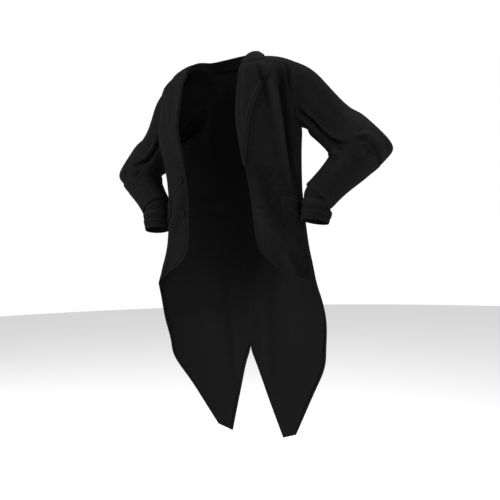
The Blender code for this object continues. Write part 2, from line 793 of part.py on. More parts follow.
# ------------------------------------------------------------------ the coat
def seam_normals(front, back):
    """Normals of forepart and back, made one along the seams that they share."""
    facing, behind = grid_normals(front), grid_normals(back)
    tails = len(TAIL_ROWS)
    side_rows_below_arm = len(BODY_ROWS)
    both = unit(facing[:side_rows_below_arm, -1] + behind[tails : tails + side_rows_below_arm, 0])
    facing[:side_rows_below_arm, -1] = both
    behind[tails : tails + side_rows_below_arm, 0] = both
    across_shoulder = unit(np.cross(np.array(SHOULDER_POINT) - NECK_POINT, [0.0, 0.0, 1.0]))
    for normals, columns in ((facing, slice(None)), (behind, slice(BACK_COLUMNS - NECK_COLUMN + 1))):
        seam = normals[-1, columns]
        normals[-1, columns] = unit(seam - np.outer(seam @ across_shoulder, across_shoulder))
    behind[VENT_ROW + 1 :, -1, 0] = 0
    return facing, unit(behind)


def build_body(cloth, lining_cloth):
    front, back = forepart_grid(), back_grid()
    facing, behind = seam_normals(front, back)
    half_gap = SEAM_GAP / 2
    front_cut = pulled_in(front, last=half_gap, top=half_gap)
    back_cut = pulled_in(back, first=half_gap, last=half_gap, top=half_gap)
    lining = lining_grid(back_cut) - behind * (CLOTH / 2 + LINING_GAP + LINING / 2)
    build_pair("forepart", front_cut, CLOTH, cloth, facing=facing)
    build_pair("back", back_cut, CLOTH, cloth, facing=behind)
    build_pair("back_lining", lining, LINING, lining_cloth, facing=behind)
    return front, back, facing


def build_pair(name, grid, thickness, material, wrap=False, facing=None):
    facing = grid_normals(grid, wrap) if facing is None else facing
    make_wall(f"{name}_left", grid, facing, thickness, material, wrap)
    flipped = facing[:, ::-1] * np.array([-1.0, 1.0, 1.0])
    columns = grid.shape[1]
    make_wall(f"{name}_right", mirrored(grid), flipped, thickness, material, wrap, turned=columns)


def build_sleeves(front, back, cloth):
    rings = sleeve_rings(armhole_ring(front, back))
    for name, (grid, facing) in zip(("top_sleeve", "under_sleeve"), sleeve_parts(rings)):
        # Rows run down the arm, so they are turned round to face out.
        build_pair(name, grid[::-1], CLOTH, cloth, facing=facing[::-1])
    build_pair("cuff", tube_rings(CUFF_RINGS)[::-1], CLOTH, cloth, wrap=True)
    build_pair("cuff_band", tube_rings(BAND_RINGS)[::-1], CLOTH, cloth, wrap=True)


def build_collar_and_lapels(front, back, normals, cloth):
    lapel = lapel_grid(front, normals)
    build_pair("lapel", lapel, CLOTH, cloth)
    half = collar_half(front, back, lapel[-1])
    whole = np.concatenate([half[:, ::-1], mirrored(half)[:, ::-1][:, 1:]], axis=1)
    facing = grid_normals(whole)
    facing[:, 0] = -grid_normals(lapel)[-1]
    facing[:, -1] = facing[:, 0] * np.array([-1.0, 1.0, 1.0])
    make_wall("collar", whole, facing, CLOTH, cloth, turned=half.shape[1] - 1)


def build_pockets_and_buttons(front, normals, cloth, horn):
    flap, welt = flap_grids()
    build_pair("pocket_flap", flap, CLOTH, cloth)
    build_pair("pocket_welt", welt, CLOTH, cloth)
    for number, z in enumerate(BUTTON_HEIGHTS):
        x = smooth_lookup(FRONT_EDGE, 1, z) + BUTTON_INSET
        point, normal = on_forepart(front, normals, x, z)
        place = point + normal * (CLOTH / 2 + LAY_GAP)
        flip = np.array([-1.0, 1.0, 1.0])   # the wearer's right is the left mirrored
        button_mesh(f"button_{number + 1}", place * flip, normal * flip, horn)


def main():
    clear_scene()
    cloth = cloth_material("black_wool", (0.010, 0.010, 0.011), 0.85)
    lining_cloth = cloth_material("black_lining", (0.006, 0.006, 0.0065), 0.60)
    horn = cloth_material("black_horn", (0.008, 0.008, 0.008), 0.40)
    front, back, front_normals = build_body(cloth, lining_cloth)
    build_sleeves(front, back, cloth)
    build_collar_and_lapels(front, back, front_normals, cloth)
    build_pockets_and_buttons(front, front_normals, cloth, horn)


main()
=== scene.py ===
# %% [markdown]
# # A black tailcoat, worn by nobody
# The coat stands open with its arms bent, as if the wearer's hands were on their hips. The packed
# model gives every piece of cloth its place and its pattern shape as a coarse, faceted wall. This
# lesson turns each wall into a fine one that passes through the same points, presses the folds into
# it, and gives it wool, lining and horn to be made of.

import json
import math

import bmesh
import bpy
import numpy as np
from mathutils import Matrix, Vector, kdtree

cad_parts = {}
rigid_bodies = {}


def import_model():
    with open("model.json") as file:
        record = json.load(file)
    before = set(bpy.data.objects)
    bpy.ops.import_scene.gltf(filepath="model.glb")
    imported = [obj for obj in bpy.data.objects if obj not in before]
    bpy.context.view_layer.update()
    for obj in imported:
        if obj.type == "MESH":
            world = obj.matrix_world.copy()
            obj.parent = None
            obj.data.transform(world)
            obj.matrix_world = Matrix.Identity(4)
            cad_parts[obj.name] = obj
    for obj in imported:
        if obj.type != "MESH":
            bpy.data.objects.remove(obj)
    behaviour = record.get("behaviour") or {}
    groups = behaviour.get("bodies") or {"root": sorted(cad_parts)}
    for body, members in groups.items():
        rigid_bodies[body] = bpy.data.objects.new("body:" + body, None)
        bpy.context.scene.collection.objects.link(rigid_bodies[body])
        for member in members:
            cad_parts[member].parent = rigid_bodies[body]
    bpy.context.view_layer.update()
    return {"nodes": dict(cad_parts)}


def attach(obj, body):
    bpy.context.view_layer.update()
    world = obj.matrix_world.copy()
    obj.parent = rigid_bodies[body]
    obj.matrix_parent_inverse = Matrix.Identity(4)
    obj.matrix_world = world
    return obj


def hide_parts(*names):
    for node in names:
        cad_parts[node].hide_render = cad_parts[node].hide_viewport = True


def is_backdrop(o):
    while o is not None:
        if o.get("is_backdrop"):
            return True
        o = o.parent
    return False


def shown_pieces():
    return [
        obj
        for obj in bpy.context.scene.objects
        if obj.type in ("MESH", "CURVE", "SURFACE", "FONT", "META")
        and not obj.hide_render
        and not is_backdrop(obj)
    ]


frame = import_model()
print("cad nodes:", len(frame["nodes"]))

# %% [markdown]
# ## Camera
# The view is from the wearer's left front, level with the waist. A camera's own axes are right, up
# and back, so they can be written straight into its matrix: that also holds the slight roll, which
# aiming it with a Track To constraint would lose.

# %% Camera
TURN, RISE, ROLL = math.radians(28.1), math.radians(-0.7), math.radians(-1.2)
DISTANCE = 1.55
LOOK_AT = Vector((0, 0, -0.49))

back = Vector((math.sin(TURN) * math.cos(RISE), -math.cos(TURN) * math.cos(RISE), math.sin(RISE)))
level_right = Vector((math.cos(TURN), math.sin(TURN), 0))
level_up = back.cross(level_right)
right = level_right * math.cos(ROLL) + level_up * math.sin(ROLL)
up = level_up * math.cos(ROLL) - level_right * math.sin(ROLL)

bpy.ops.object.camera_add()
camera = bpy.context.object
camera.name = "camera"
camera.data.lens = 35
camera.data.sensor_width = 32
camera.matrix_world = Matrix.Translation(LOOK_AT + back * DISTANCE + right * 0.040) @ Matrix(
    (right, up, back)
).transposed().to_4x4()
bpy.context.scene.camera = camera
print("camera at", [round(v, 3) for v in camera.location])

# %% [markdown]
# ## Studio
# Black cloth shows its shape only by faint differences, so the light is large and soft and comes
# mostly from the viewer's left, and the room adds an even glow. The glow that lights the coat is
# dimmer than the backdrop behind it: a Light Path node gives the camera a white room of its own.

# %% Studio
FLOOR_Z = -1.45
ROOM_GLOW = 0.22

scene = bpy.context.scene
scene.view_settings.view_transform = "Standard"
world = bpy.data.worlds.new("white_room")
scene.world = world
world.use_nodes = True
nodes, links = world.node_tree.nodes, world.node_tree.links
glow = nodes["Background"]
glow.inputs["Color"].default_value = (1, 1, 1, 1)
glow.inputs["Strength"].default_value = ROOM_GLOW
backdrop = nodes.new("ShaderNodeBackground")
backdrop.inputs["Color"].default_value = (1, 1, 1, 1)
backdrop.inputs["Strength"].default_value = 1.0
seen = nodes.new("ShaderNodeLightPath")
either = nodes.new("ShaderNodeMixShader")
links.new(seen.outputs["Is Camera Ray"], either.inputs["Fac"])
links.new(glow.outputs["Background"], either.inputs[1])
links.new(backdrop.outputs["Background"], either.inputs[2])
links.new(either.outputs["Shader"], nodes["World Output"].inputs["Surface"])

bpy.ops.object.select_all(action="DESELECT")
bpy.ops.mesh.primitive_circle_add(vertices=96, radius=9, fill_type="NGON", location=(0, 0, FLOOR_Z))
floor = bpy.context.object
floor.name = "floor"
pale = bpy.data.materials.new("pale_floor")
pale.use_nodes = True
pale_shader = pale.node_tree.nodes["Principled BSDF"]
pale_shader.inputs["Base Color"].default_value = (0.9, 0.9, 0.9, 1)
pale_shader.inputs["Roughness"].default_value = 1.0
pale_shader.inputs["Specular IOR Level"].default_value = 0.0
pale_shader.inputs["Emission Color"].default_value = (1, 1, 1, 1)
pale_shader.inputs["Emission Strength"].default_value = 0.45
floor.data.materials.append(pale)
floor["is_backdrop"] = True


def soft_light(name, place, size, watts):
    bpy.ops.object.light_add(type="AREA", location=place)
    lamp = bpy.context.object
    lamp.name = name
    lamp.data.size = size
    lamp.data.energy = watts
    lamp.rotation_euler = (LOOK_AT - Vector(place)).to_track_quat("-Z", "Y").to_euler()
    return lamp


soft_light("key", (-2.2, -2.0, 1.6), 1.1, 104)
soft_light("fill", (2.4, -2.0, 0.3), 1.4, 36)
soft_light("top", (0.6, 0.5, 1.9), 1.2, 40)
print("lights: key, fill, top")

# %% [markdown]
# ## Where on the cloth
# Folds are easier to place on the cloth than in space. On the body a place is an angle round it
# from the front and a height; on a sleeve it is an angle round the arm from its outer side and a
# distance along the arm. Both are kept in metres along the cloth, so a fold's width is a true one.

# %% Places on the cloth
BODY_MIDDLE_Y = -0.02
BODY_RADIUS = 0.19
ARM_RADIUS = 0.055
ARM_LINE = [   # armhole, elbow, sleeve hem, end of the cuff
    (0.203, 0.004, -0.0815), (0.364, 0.028, -0.243), (0.2605, -0.018, -0.357), (0.253, -0.028, -0.413)
]


def body_places(points):
    """(angle round from the front, height) in metres of cloth, and the way out, for each point."""
    x, y = points[:, 0], points[:, 1] - BODY_MIDDLE_Y
    places = np.stack([np.arctan2(np.abs(x), -y) * BODY_RADIUS, points[:, 2]], axis=1)
    out = np.stack([x, y, np.zeros(len(x))], axis=1)
    return places, out / np.linalg.norm(out, axis=1, keepdims=True)


def arm_places(points):
    """The same for a sleeve: (angle round from its outer side, distance along the arm)."""
    side = np.sign(points[:, 0].mean())
    points = points * [side, 1, 1]
    line = np.array(ARM_LINE)
    nearest = np.full(len(points), np.inf)
    places, out = np.zeros((len(points), 2)), np.zeros((len(points), 3))
    done = 0.0
    for start, end in zip(line[:-1], line[1:]):
        length = np.linalg.norm(end - start)
        way = (end - start) / length
        along = np.clip((points - start) @ way, 0, length)
        away = points - (start + along[:, None] * way)
        gap = np.linalg.norm(away, axis=1)
        forward = np.array([0, -1, 0]) + way * way[1]
        forward /= np.linalg.norm(forward)
        outward = np.cross(forward, way)
        angle = np.arctan2(away @ forward, away @ outward)
        angle = np.where(angle < -math.pi / 2, angle + 2 * math.pi, angle)
        closer = gap < nearest
        places[closer, 0] = angle[closer] * ARM_RADIUS
        places[closer, 1] = done + along[closer]
        out[closer] = (away / gap[:, None])[closer]
        nearest = np.minimum(nearest, gap)
        done += length
    return places, out * [side, 1, 1]


# %% [markdown]
# ## Folds
# Wool over canvas folds softly: it makes a few long troughs with a rounded ridge beside each, where
# the cloth is pushed, and short sharp ones only inside the elbow. Each fold here is a line on the
# cloth with a depth and a width. A vertex is pushed in or out by the fold's depth, fading away from
# the line as a bell curve and towards the line's two ends. A cloth simulation would also fold, but
# it would choose its own places.

# %% Fold tables
IN, OUT = -1, 1
LEFT, RIGHT, BOTH = 1, -1, 0
END_SHARE, END_DEPTH = 0.3, 0.15   # a fold fades over this share of its length, to this depth
BODY_FOLDS = [
    # side   depth   width   (degrees round from the front, height) ...
    (LEFT, IN * 0.0085, 0.011, [(73, -0.020), (72, -0.090), (74, -0.155), (79, -0.232), (85, -0.325)]),
    (LEFT, OUT * 0.0060, 0.009,
     [(66, -0.020), (65, -0.080), (67, -0.156), (72, -0.215), (80, -0.290), (83, -0.345)]),
    (LEFT, IN * 0.0040, 0.008, [(60, -0.035), (60, -0.085), (62, -0.140)]),
    (LEFT, IN * 0.0050, 0.006, [(79, -0.010), (78, -0.050), (79, -0.090)]),
    (LEFT, OUT * 0.0040, 0.005, [(82, -0.015), (81, -0.060), (82, -0.100)]),
    (LEFT, IN * 0.0045, 0.005, [(57, -0.018), (58, -0.040), (59, -0.068)]),
    (LEFT, OUT * 0.0030, 0.012, [(88, -0.150), (90, -0.230), (92, -0.320)]),
    (LEFT, IN * 0.0040, 0.016, [(58, -0.260), (66, -0.330), (74, -0.400), (80, -0.460)]),
    (LEFT, OUT * 0.0030, 0.014, [(50, -0.330), (60, -0.400), (70, -0.460)]),
    (LEFT, IN * 0.0035, 0.007, [(80, -0.500), (82, -0.535), (83, -0.570)]),
    (LEFT, IN * 0.0025, 0.006, [(70, -0.490), (73, -0.520), (75, -0.540)]),
    (LEFT, OUT * 0.0025, 0.006, [(76, -0.495), (78, -0.530), (79, -0.560)]),
    (RIGHT, IN * 0.0060, 0.011, [(70, -0.030), (69, -0.090), (71, -0.160), (77, -0.240)]),
    (RIGHT, OUT * 0.0050, 0.009, [(63, -0.040), (62, -0.100), (64, -0.170), (70, -0.240)]),
    (RIGHT, IN * 0.0035, 0.014, [(52, -0.300), (60, -0.350), (70, -0.410), (78, -0.460)]),
    (RIGHT, IN * 0.0030, 0.007, [(76, -0.500), (79, -0.530), (81, -0.565)]),
    (BOTH, IN * 0.0060, 0.012, [(118, -0.030), (117, -0.100), (114, -0.170), (110, -0.240)]),
    (BOTH, OUT * 0.0045, 0.011, [(128, -0.040), (127, -0.110), (125, -0.190)]),
    (BOTH, IN * 0.0040, 0.013, [(104, -0.330), (122, -0.345), (140, -0.338)]),
    (LEFT, IN * 0.0030, 0.011, [(112, -0.385), (130, -0.392), (150, -0.380)]),
    (RIGHT, IN * 0.0034, 0.012, [(108, -0.375), (126, -0.390), (146, -0.395)]),
    (BOTH, OUT * 0.0040, 0.024, [(120, -0.520), (121, -0.660), (124, -0.800)]),
    (BOTH, IN * 0.0040, 0.020, [(138, -0.500), (139, -0.640), (142, -0.780), (146, -0.900)]),
    (LEFT, OUT * 0.0030, 0.018, [(152, -0.560), (155, -0.720), (158, -0.900)]),
    (RIGHT, OUT * 0.0034, 0.020, [(150, -0.600), (152, -0.760), (156, -0.940)]),
]
ARM_FOLDS = [
    # side   depth   width   (degrees round from the arm's outer side, distance along it) ...
    (LEFT, IN * 0.0090, 0.0055,
     [(112, 0.028), (123, 0.070), (134, 0.120), (130, 0.160), (104, 0.192), (88, 0.208)]),
    (LEFT, OUT * 0.0040, 0.0055, [(98, 0.028), (110, 0.075), (118, 0.122), (112, 0.158), (92, 0.184)]),
    (LEFT, OUT * 0.0045, 0.0070, [(128, 0.045), (142, 0.090), (152, 0.135), (142, 0.180)]),
    (LEFT, OUT * 0.0042, 0.0032, [(84, 0.202), (62, 0.204), (44, 0.214), (38, 0.230), (48, 0.246)]),
    (LEFT, IN * 0.0040, 0.0050, [(74, 0.216), (58, 0.222), (52, 0.236)]),
    (LEFT, OUT * 0.0035, 0.0030, [(114, 0.236), (96, 0.226), (84, 0.230), (68, 0.241), (52, 0.250)]),
    (LEFT, IN * 0.0060, 0.0040, [(128, 0.206), (118, 0.218), (116, 0.240), (122, 0.256)]),
    (LEFT, IN * 0.0040, 0.0050, [(140, 0.262), (124, 0.272), (108, 0.268)]),
    (LEFT, OUT * 0.0032, 0.0050, [(142, 0.276), (122, 0.286), (106, 0.276)]),
    (LEFT, IN * 0.0034, 0.0060, [(146, 0.296), (126, 0.302), (112, 0.290)]),
    (LEFT, OUT * 0.0024, 0.0070, [(92, 0.262), (90, 0.305), (88, 0.350)]),
    (LEFT, IN * 0.0045, 0.0045, [(24, 0.214), (18, 0.236), (26, 0.252)]),
    (LEFT, IN * 0.0035, 0.0045, [(6, 0.196), (2, 0.222), (8, 0.244)]),
    (RIGHT, IN * 0.0085, 0.0060, [(118, 0.060), (128, 0.105), (124, 0.150), (100, 0.182), (80, 0.198)]),
    (RIGHT, OUT * 0.0040, 0.0055, [(104, 0.065), (112, 0.110), (106, 0.148), (88, 0.172)]),
    (RIGHT, IN * 0.0055, 0.0045, [(130, 0.214), (112, 0.226), (92, 0.232), (70, 0.246)]),
    (RIGHT, OUT * 0.0034, 0.0045, [(122, 0.238), (100, 0.244), (80, 0.256)]),
    (RIGHT, IN * 0.0040, 0.0055, [(138, 0.268), (118, 0.278), (98, 0.274)]),
    (RIGHT, IN * 0.0040, 0.0060, [(40, 0.200), (36, 0.222), (44, 0.244)]),
    (LEFT, IN * 0.0022, 0.0022, [(88, 0.200), (66, 0.208), (50, 0.220), (46, 0.234)]),
    (LEFT, IN * 0.0022, 0.0022, [(108, 0.230), (90, 0.222), (70, 0.234)]),
    (BOTH, OUT * 0.0080, 0.0330, [(12, 0.130), (10, 0.185), (8, 0.229), (14, 0.262)]),
    (BOTH, IN * 0.0055, 0.0170, [(168, 0.170), (172, 0.229), (168, 0.280)]),
    (BOTH, OUT * 0.0025, 0.0090, [(60, 0.020), (66, 0.070), (70, 0.120)]),
    (BOTH, IN * 0.0050, 0.0060, [(172, 0.150), (168, 0.190), (176, 0.226)]),
    (BOTH, IN * 0.0045, 0.0060, [(205, 0.120), (215, 0.170), (220, 0.215)]),
    (BOTH, IN * 0.0040, 0.0055, [(190, 0.262), (214, 0.276), (238, 0.272)]),
    (BOTH, IN * 0.0035, 0.0050, [(-40, 0.190), (-34, 0.224), (-42, 0.250)]),
    (BOTH, OUT * 0.0030, 0.0060, [(-56, 0.150), (-50, 0.200), (-58, 0.246)]),
]


CUFF_FOLDS = [
    (BOTH, OUT * 0.0026, 0.0060, [(-90, 0.412), (0, 0.409), (90, 0.413), (180, 0.409), (270, 0.412)]),
    (BOTH, IN * 0.0020, 0.0030, [(-90, 0.400), (0, 0.399), (90, 0.401), (180, 0.399), (270, 0.400)]),
    (BOTH, IN * 0.0018, 0.0040, [(-90, 0.427), (0, 0.424), (90, 0.428), (180, 0.424), (270, 0.427)]),
]


def fold_push(points, folds, places, radius):
    """How far each point is pushed out by the folds, in metres."""
    push = np.zeros(len(points))
    for side, depth, width, line in folds:
        line = np.array([(math.radians(a) * radius, b) for a, b in line])
        lengths = np.linalg.norm(np.diff(line, axis=0), axis=1)
        whole, done = lengths.sum(), 0.0
        nearest, share = np.full(len(points), np.inf), np.zeros(len(points))
        for start, end, length in zip(line[:-1], line[1:], lengths):
            along = np.clip((places - start) @ (end - start) / length, 0, length)
            gap = np.linalg.norm(places - start - np.outer(along / length, end - start), axis=1)
            closer = gap < nearest
            share[closer] = (done + along[closer]) / whole
            nearest = np.minimum(nearest, gap)
            done += length
        ends = np.clip(np.minimum(share, 1 - share) / END_SHARE, 0, 1)
        fade = END_DEPTH + (1 - END_DEPTH) * np.sin(ends * math.pi / 2)
        shape = depth * np.exp(-((nearest / width) ** 2)) * fade
        if side != BOTH:
            shape = np.where(points[:, 0] * side > 0, shape, 0.0)
        push += shape
    return push


print("folds on the body:", len(BODY_FOLDS), "on the sleeves:", len(ARM_FOLDS))

# %% [markdown]
# ## Cloth finishes
# The wool is a fine twill with a short nap: nearly black, dull, and a little uneven in tone. Its
# diagonal ribs are too fine to model, so they are a bump: waves that follow the cloth's own UV map,
# with a fine noise for the nap. One node group makes it for wool and lining alike. It also reads a
# tone attribute on each point: painted shade in the troughs of the folds, in sunken stitching and
# on the collar's inner face, painted highlight on the fold ridges and raised stitching, and a
# lighter band along the edges.

# %% Weave node group
weave = bpy.data.node_groups.new("woven_cloth", "ShaderNodeTree")
for name, kind, value in (
    ("Ribs per metre", "NodeSocketFloat", 900.0),
    ("Patchiness", "NodeSocketFloat", 0.5),
    ("Edge and painted light", "NodeSocketFloat", 0.5),
):
    socket = weave.interface.new_socket(name, in_out="INPUT", socket_type=kind)
    socket.default_value = value
for name in ("Dark colour", "Light colour"):
    weave.interface.new_socket(name, in_out="INPUT", socket_type="NodeSocketColor")
weave.interface.new_socket("Colour", in_out="OUTPUT", socket_type="NodeSocketColor")
weave.interface.new_socket("Height", in_out="OUTPUT", socket_type="NodeSocketFloat")

add, join = weave.nodes.new, weave.links.new
given, made = add("NodeGroupInput"), add("NodeGroupOutput")
cloth_uv = add("ShaderNodeUVMap")
cloth_uv.uv_map = "cloth"
place = add("ShaderNodeTexCoord")
ribs = add("ShaderNodeTexWave")
ribs.bands_direction = "DIAGONAL"
ribs.inputs["Distortion"].default_value = 0.6
join(cloth_uv.outputs["UV"], ribs.inputs["Vector"])
join(given.outputs["Ribs per metre"], ribs.inputs["Scale"])
nap = add("ShaderNodeTexNoise")
nap.inputs["Scale"].default_value = 620.0
nap.inputs["Detail"].default_value = 3.0
join(place.outputs["Object"], nap.inputs["Vector"])
patches = add("ShaderNodeTexNoise")
patches.inputs["Scale"].default_value = 90.0
patches.inputs["Detail"].default_value = 5.0
patches.inputs["Roughness"].default_value = 0.62
join(place.outputs["Object"], patches.inputs["Vector"])
# the tone attribute: base tone, lighter edges, and painted shade and highlight of folds, stitching and
# the collar's inside
edge_and_painted_light = add("ShaderNodeAttribute")
edge_and_painted_light.attribute_name = "edge_and_painted_light"
scaled_edge_and_painted_light = add("ShaderNodeMath")
scaled_edge_and_painted_light.operation = "MULTIPLY"
join(edge_and_painted_light.outputs["Fac"], scaled_edge_and_painted_light.inputs[0])
join(given.outputs["Edge and painted light"], scaled_edge_and_painted_light.inputs[1])
spread = add("ShaderNodeMapRange")
spread.inputs["From Min"].default_value = 0.30
spread.inputs["From Max"].default_value = 0.70
join(patches.outputs["Fac"], spread.inputs["Value"])
uneven = add("ShaderNodeMath")
uneven.operation = "MULTIPLY"
join(spread.outputs["Result"], uneven.inputs[0])
join(given.outputs["Patchiness"], uneven.inputs[1])
both = add("ShaderNodeMath")
both.operation = "ADD"
both.use_clamp = True
join(scaled_edge_and_painted_light.outputs["Value"], both.inputs[0])
join(uneven.outputs["Value"], both.inputs[1])
tone = add("ShaderNodeMix")
tone.data_type = "RGBA"
join(both.outputs["Value"], tone.inputs["Factor"])
join(given.outputs["Dark colour"], tone.inputs["A"])
join(given.outputs["Light colour"], tone.inputs["B"])
join(tone.outputs["Result"], made.inputs["Colour"])
raised = add("ShaderNodeMath")
raised.operation = "MULTIPLY_ADD"
raised.inputs[1].default_value = 0.5
join(ribs.outputs["Fac"], raised.inputs[0])
join(nap.outputs["Fac"], raised.inputs[2])
join(raised.outputs["Value"], made.inputs["Height"])


def woven(name, dark, light, ribs_per_metre, patchiness, edge_and_painted_light, roughness, sheen):
    """A cloth's material: the shader in it, fed by the weave group."""
    material = bpy.data.materials.new(name)
    material.use_nodes = True
    tree = material.node_tree
    shader = tree.nodes["Principled BSDF"]
    shader.inputs["Roughness"].default_value = roughness
    shader.inputs["Specular IOR Level"].default_value = 0.04
    shader.inputs["Sheen Weight"].default_value = sheen
    shader.inputs["Sheen Roughness"].default_value = 0.5
    cloth = tree.nodes.new("ShaderNodeGroup")
    cloth.node_tree = weave
    cloth.inputs["Ribs per metre"].default_value = ribs_per_metre
    cloth.inputs["Patchiness"].default_value = patchiness
    cloth.inputs["Edge and painted light"].default_value = edge_and_painted_light
    cloth.inputs["Dark colour"].default_value = (*dark, 1)
    cloth.inputs["Light colour"].default_value = (*light, 1)
    bump = tree.nodes.new("ShaderNodeBump")
    bump.inputs["Strength"].default_value = 0.25
    bump.inputs["Distance"].default_value = 0.0003
    tree.links.new(cloth.outputs["Colour"], shader.inputs["Base Color"])
    tree.links.new(cloth.outputs["Height"], bump.inputs["Height"])
    tree.links.new(bump.outputs["Normal"], shader.inputs["Normal"])
    return material


wool = woven(
    "black_wool_twill", (0.0018, 0.0018, 0.0020), (0.0165, 0.0165, 0.0172), 900, 0.20, 0.5, 0.9, 0.0
)
satin = woven(
    "black_lining_satin", (0.0042, 0.0042, 0.0046), (0.0096, 0.0096, 0.0100), 1500, 0.2, 0.5, 0.7, 0.0
)
horn = bpy.data.materials.new("black_horn")
horn.use_nodes = True
horn_shader = horn.node_tree.nodes["Principled BSDF"]
horn_shader.inputs["Base Color"].default_value = (0.0045, 0.0045, 0.0045, 1)
horn_shader.inputs["Roughness"].default_value = 0.55
horn_shader.inputs["Specular IOR Level"].default_value = 0.06
for button in ("button_1", "button_2"):
    frame["nodes"][button].data.materials.clear()
    frame["nodes"][button].data.materials.append(horn)
print("materials:", wool.name, satin.name, horn.name)

# %% [markdown]
# ## From coarse wall to fine wall
# A copy of the coarse wall has its loose triangles merged and paired back into squares. The narrow
# faces round the rim are known by their neighbours, which face opposite ways; their long edges are
# creased, so subdivision keeps the rim crisp. Subdivision also pulls a surface in from its points,
# so the points are first pushed out by as much as they would move, and the fine wall passes through
# the places that the pattern gives.

# %% Fine walls
CORNER = math.radians(35)       # a rim that turns more than this has a real corner
FACING_AWAY = -0.85             # how opposite the wall's two faces are, across the rim
MERGE = 0.00002
WARP, SKEW = math.radians(70), math.radians(150)   # what two triangles may differ by and still pair
PUSH_ROUNDS = 4


def crease_rim(mesh):
    """Creases the wall's rim and marks its points in an attribute."""
    shape = bmesh.new()
    shape.from_mesh(mesh)
    shape.normal_update()
    crease = shape.edges.layers.float.get("crease_edge") or shape.edges.layers.float.new("crease_edge")
    rim_layer = shape.verts.layers.float.new("rim")
    rim = set()
    for face in shape.faces:
        if len(face.edges) != 4:
            continue
        across = [other for e in face.edges for other in e.link_faces if other is not face]
        for one, opposite in ((0, 2), (1, 3)):
            if across[one].normal.dot(across[opposite].normal) < FACING_AWAY:
                if face.edges[one].calc_length() > face.edges[one - 1].calc_length() * 0.5:
                    rim.add(face)
    for e in shape.edges:
        in_rim = sum(face in rim for face in e.link_faces)
        if in_rim == 1 or (in_rim == 2 and e.calc_face_angle(0) > CORNER):
            e[crease] = 1.0
    for face in rim:
        for v in face.verts:
            v[rim_layer] = 1.0
    shape.to_mesh(mesh)
    shape.free()
    return len(rim)


def fine_wall(node, levels, name):
    """A fine copy of a CAD node's wall."""
    source = frame["nodes"][node]
    piece = bpy.data.objects.new(name, source.data.copy())
    scene.collection.objects.link(piece)
    piece.data.materials.clear()
    bpy.ops.object.select_all(action="DESELECT")
    piece.select_set(True)
    bpy.context.view_layer.objects.active = piece
    bpy.ops.object.mode_set(mode="EDIT")
    bpy.ops.mesh.select_all(action="SELECT")
    bpy.ops.mesh.remove_doubles(threshold=MERGE)
    bpy.ops.mesh.tris_convert_to_quads(face_threshold=WARP, shape_threshold=SKEW)
    bpy.ops.mesh.customdata_custom_splitnormals_clear()
    bpy.ops.object.mode_set(mode="OBJECT")
    rim = crease_rim(piece.data)
    finer = piece.modifiers.new("finer", "SUBSURF")
    finer.levels = finer.render_levels = levels
    finer.uv_smooth = "NONE"
    target = read_points(piece.data)
    held = target.copy()
    for _ in range(PUSH_ROUNDS):
        graph = bpy.context.evaluated_depsgraph_get()
        fine = piece.evaluated_get(graph).data
        held += target - read_points(fine)[: len(target)]
        write_points(piece.data, held)
        piece.data.update()
        bpy.context.view_layer.update()
    squares = sum(len(p.vertices) == 4 for p in piece.data.polygons)
    print(f"{name}: {squares} squares of {len(piece.data.polygons)} faces, {rim} in the rim")
    bpy.ops.object.modifier_apply(modifier="finer")
    return piece


def read_points(mesh):
    flat = np.empty(len(mesh.vertices) * 3, np.float32)
    mesh.vertices.foreach_get("co", flat)
    return flat.reshape(-1, 3).astype(float)


def write_points(mesh, points):
    mesh.vertices.foreach_set("co", np.ascontiguousarray(points, np.float32).ravel())


# %% [markdown]
# ## Edges and stitching
# A tailored edge is two layers of cloth turned in and pressed, held by a row of hand stitches a few
# millimetres from the edge, so the cloth stands a little proud of the stitches. How far each point
# is from the rim comes from a search tree of the rim's own points. The same distance makes the cloth
# lighter near its edges, and paints the stitch line: painted highlight where the stitches stand
# proud, painted shade where they sink. The rim also grows by a hair, because the pieces are packed
# a third of a millimetre apart, and daylight would show through a seam that wide.

# %% Edge distance
# the cloth is made lighter within about this distance of the rim
EDGE_REACH = 0.0035
EDGE_TONE = 0.22
SEAM_REACH = 0.0002
LIFT = 0.0004             # a lapel, flap or welt stands this much off the forepart
# base tone, painted light along the stitching, painted shade inside the collar, and the most painted
# light a fold gives
PLAIN_TONE, STITCH_PAINTED_LIGHT, INSIDE_PAINTED_SHADE, MOST_FOLD_PAINTED_LIGHT = 0.5, 0.35, 1.2, 0.8
HEAD_FADE, HEM_AT, HEM_FADE = 0.03, 0.400, 0.02   # sleeve folds die out towards both ends
# a fold this deep gives one full step of painted shade in its trough or painted highlight on its ridge
FOLD_PAINTED_LIGHT_DEPTH = 0.010


def tree_of(points):
    tree = kdtree.KDTree(len(points))
    for number, point in enumerate(points):
        tree.insert(point, number)
    tree.balance()
    return tree


def rim_marks(mesh):
    marks = np.empty(len(mesh.vertices), np.float32)
    mesh.attributes["rim"].data.foreach_get("value", marks)
    return marks > 0.999


def rim_distance(piece):
    points = read_points(piece.data)
    tree = tree_of(points[rim_marks(piece.data)])
    return np.array([tree.find(point)[2] for point in points])


def reach_to_seams(mesh):
    """Grows the rim outwards by a hair, so that two pieces meet at their seam."""
    marks, points = rim_marks(mesh), read_points(mesh)
    corners = np.empty(len(mesh.loops), np.int32)
    mesh.loops.foreach_get("vertex_index", corners)
    corners = corners.reshape(-1, 4)
    normals = np.empty(len(mesh.polygons) * 3, np.float32)
    mesh.polygons.foreach_get("normal", normals)
    on_rim = marks[corners].all(axis=1)
    outward = np.zeros_like(points)
    for corner in range(4):
        np.add.at(outward, corners[on_rim, corner], normals.reshape(-1, 3)[on_rim])
    outward /= np.maximum(np.linalg.norm(outward, axis=1, keepdims=True), 0.001)
    write_points(mesh, points + outward * SEAM_REACH)


